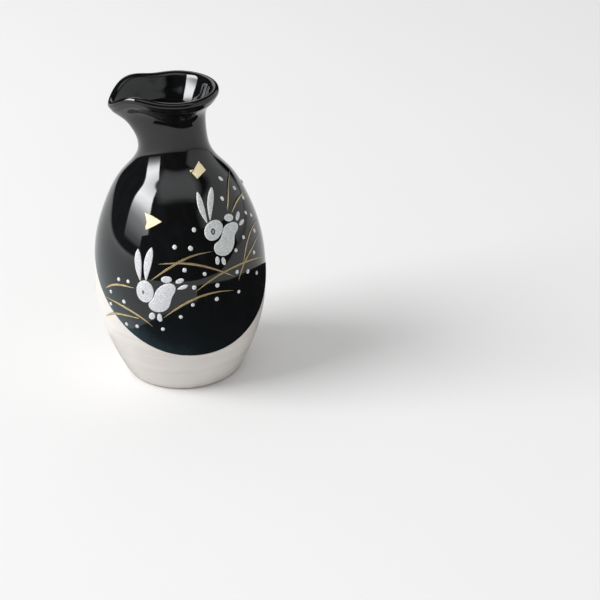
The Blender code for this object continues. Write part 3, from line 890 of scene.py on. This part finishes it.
def make_shades():
    """Dark boards seen only in reflections: they take the place of a dark tray under the bottle."""
    material, tree, shader, place_on = new_material("shade")
    tone = mottle(tree, place_on, 20.0)
    finish(tree, shader, {"Base Color": ramp(tree, tone, [(0.3, 0.010), (0.7, 0.016)]),
                          "Roughness": 0.6, "Specular IOR Level": 0.0})

    def rim(turn, height):
        return (TRAY_SHADE[0] + TRAY_SHADE_RADIUS * math.cos(turn),
                TRAY_SHADE[1] + TRAY_SHADE_RADIUS * math.sin(turn), height)

    board = [rim(2 * math.pi * i / SHADE_STEPS, TRAY_SHADE_LIFT) for i in range(SHADE_STEPS)]
    only_in_reflections(stage_mesh("tray_shade", board, [tuple(range(SHADE_STEPS))], material))
    angles, heights = zip(*TRAY_SHADE_WALL)
    arc = np.linspace(angles[0], angles[-1], SHADE_STEPS)
    wall = [rim(math.radians(angle), TRAY_SHADE_LIFT) for angle in arc]
    wall += [rim(math.radians(angle), np.interp(angle, angles, heights)) for angle in arc]
    strip = [(i, i + 1, SHADE_STEPS + i + 1, SHADE_STEPS + i) for i in range(SHADE_STEPS - 1)]
    only_in_reflections(stage_mesh("tray_shade_rim", wall, strip, material))
    front = []
    for edge in (FRONT_SHADE_LOW, FRONT_SHADE_HIGH):
        angles, heights = zip(*edge)
        for angle in np.linspace(angles[0], angles[-1], SHADE_STEPS):
            turn = math.radians(angle)
            front.append((FRONT_SHADE * math.sin(turn), -FRONT_SHADE * math.cos(turn),
                          np.interp(angle, angles, heights)))
    only_in_reflections(stage_mesh("front_shade", front, strip, material))


def facing(azimuth, elevation, distance):
    """A placement at an azimuth (0 at the front, positive to +X) whose -Z looks at the bottle."""
    a, e = math.radians(azimuth), math.radians(elevation)
    out = Vector((math.sin(a) * math.cos(e), -math.cos(a) * math.cos(e), math.sin(e)))
    turn = out.to_track_quat("Z", "Y").to_matrix().to_4x4()
    return Matrix.Translation(BOTTLE_MIDDLE + out * distance) @ turn


def make_card(name, azimuth, elevation, distance, width, height, levels, soft, slant=0.0):
    """A softbox's face, seen only in reflections, whose glow fades at its edges over the share soft.

    Its right edge leans: the foot is slant further out, and the top slant further in."""
    material = bpy.data.materials.new(name)
    material.use_nodes = True
    tree = material.node_tree
    tree.nodes.clear()
    where = add(tree, "ShaderNodeTexCoord").outputs["Generated"]
    parts = add(tree, "ShaderNodeSeparateXYZ", {"Vector": where}).outputs
    top = max(strength for _, strength in levels)
    glow = ramp(tree, parts["Y"], [(share, strength / top) for share, strength in levels])
    reach = calc(tree, "SUBTRACT", width + slant, calc(tree, "MULTIPLY", parts["Y"], 2 * slant))
    across = calc(tree, "DIVIDE", calc(tree, "MULTIPLY", parts["X"], width + slant), reach)
    for share in (across, parts["Y"]):
        near = ranged(tree, share, 0.0, soft, 0.0, 1.0)
        far = ranged(tree, share, 1.0 - soft, 1.0, 1.0, 0.0)
        glow = calc(tree, "MULTIPLY", glow, calc(tree, "MULTIPLY", near, far))
    shine = add(tree, "ShaderNodeEmission", {"Color": CARD_COLOUR,
                                             "Strength": calc(tree, "MULTIPLY", glow, top)})
    out = add(tree, "ShaderNodeOutputMaterial")
    tree.links.new(shine.outputs["Emission"], out.inputs["Surface"])
    w, h = width / 2, height / 2
    corners = [(-w, -h, 0), (w + slant, -h, 0), (w - slant, h, 0), (-w, h, 0)]
    obj = stage_mesh(name, corners, [(0, 1, 2, 3)], material)
    obj.matrix_world = facing(azimuth, elevation, distance)
    only_in_reflections(obj)
    return obj


def make_light(name, azimuth, elevation, distance, size, power):
    """A soft square light that reflections don't see, because a card stands for it there."""
    data = bpy.data.lights.new(name, "AREA")
    data.size = size
    data.energy = power
    obj = bpy.data.objects.new(name, data)
    obj.matrix_world = facing(azimuth, elevation, distance)
    obj.visible_glossy = False
    bpy.context.scene.collection.objects.link(obj)


def make_studio():
    make_floor()
    make_shades()
    for name, card in CARDS.items():
        make_card(name, **card)
    make_light("key_light", **KEY_LIGHT)
    world = bpy.data.worlds.new("studio")
    bpy.context.scene.world = world
    world.use_nodes = True
    sky = world.node_tree.nodes["Background"]
    sky.inputs["Color"].default_value = SKY_COLOUR
    sky.inputs["Strength"].default_value = SKY_STRENGTH
    world.cycles_visibility.glossy = False
    bpy.context.scene.view_settings.view_transform = "Standard"


def make_camera():
    """The photograph's viewing angle: from the front and a little to the right, looking down."""
    data = bpy.data.cameras.new("camera")
    data.lens = LENS
    data.sensor_width = SENSOR
    camera = bpy.data.objects.new("camera", data)
    camera.matrix_world = (Matrix.Translation(CAMERA_PLACE)
                           @ Matrix.Rotation(math.radians(90 - CAMERA_LOOKS_DOWN), 4, "X")
                           @ Matrix.Rotation(math.radians(CAMERA_ROLL), 4, "Z"))
    bpy.context.scene.collection.objects.link(camera)
    bpy.context.scene.camera = camera


def make_bottle():
    glaze = glaze_material()
    gold = leaf_material()
    grass = grass_material()
    eyes = {
        "lower_rabbit": eye_material("lower_rabbit_eye_finish", (0.20, 0.155, 0.085), (0.035, 0.03, 0.025)),
        "upper_rabbit": eye_material("upper_rabbit_eye_finish", (0.014, 0.016, 0.018), (0.32, 0.34, 0.36)),
    }
    snow = enamel_material("snow_finish", (0.70, 0.72, 0.74), (0.88, 0.89, 0.90))
    enamels = {
        "lower_rabbit": enamel_material("lower_rabbit_finish", (0.74, 0.75, 0.79), (0.88, 0.89, 0.91)),
        # Painted shade: the upper rabbit has the same enamel as the lower one, given darker greys because
        # less light falls on it.
        "upper_rabbit": enamel_material("upper_rabbit_shaded_finish", (0.66, 0.69, 0.69), (0.86, 0.88, 0.88)),
    }
    make_body(porcelain_material())
    make_coat(glaze)
    for name, (anchor, strokes) in RABBITS.items():
        make_rabbit(name, anchor, strokes, enamels[name], eyes[name])
    for name, (anchor, outline) in GOLD_LEAF.items():
        make_leaf(name + "_foil", anchor, outline, gold, [name])
    make_leaf("gold_leaf_crumb", *LEAF_CRUMB, gold)
    make_snow(snow)
    for number, route in enumerate(GRASS, start=1):
        half_width = GRASS_HALF_WIDTH * (BROAD_BLADE if number in BROAD_BLADES else 1.0)
        make_grass(f"gold_grass_{number:02d}", route, grass, half_width)


make_bottle()
make_studio()
make_camera()
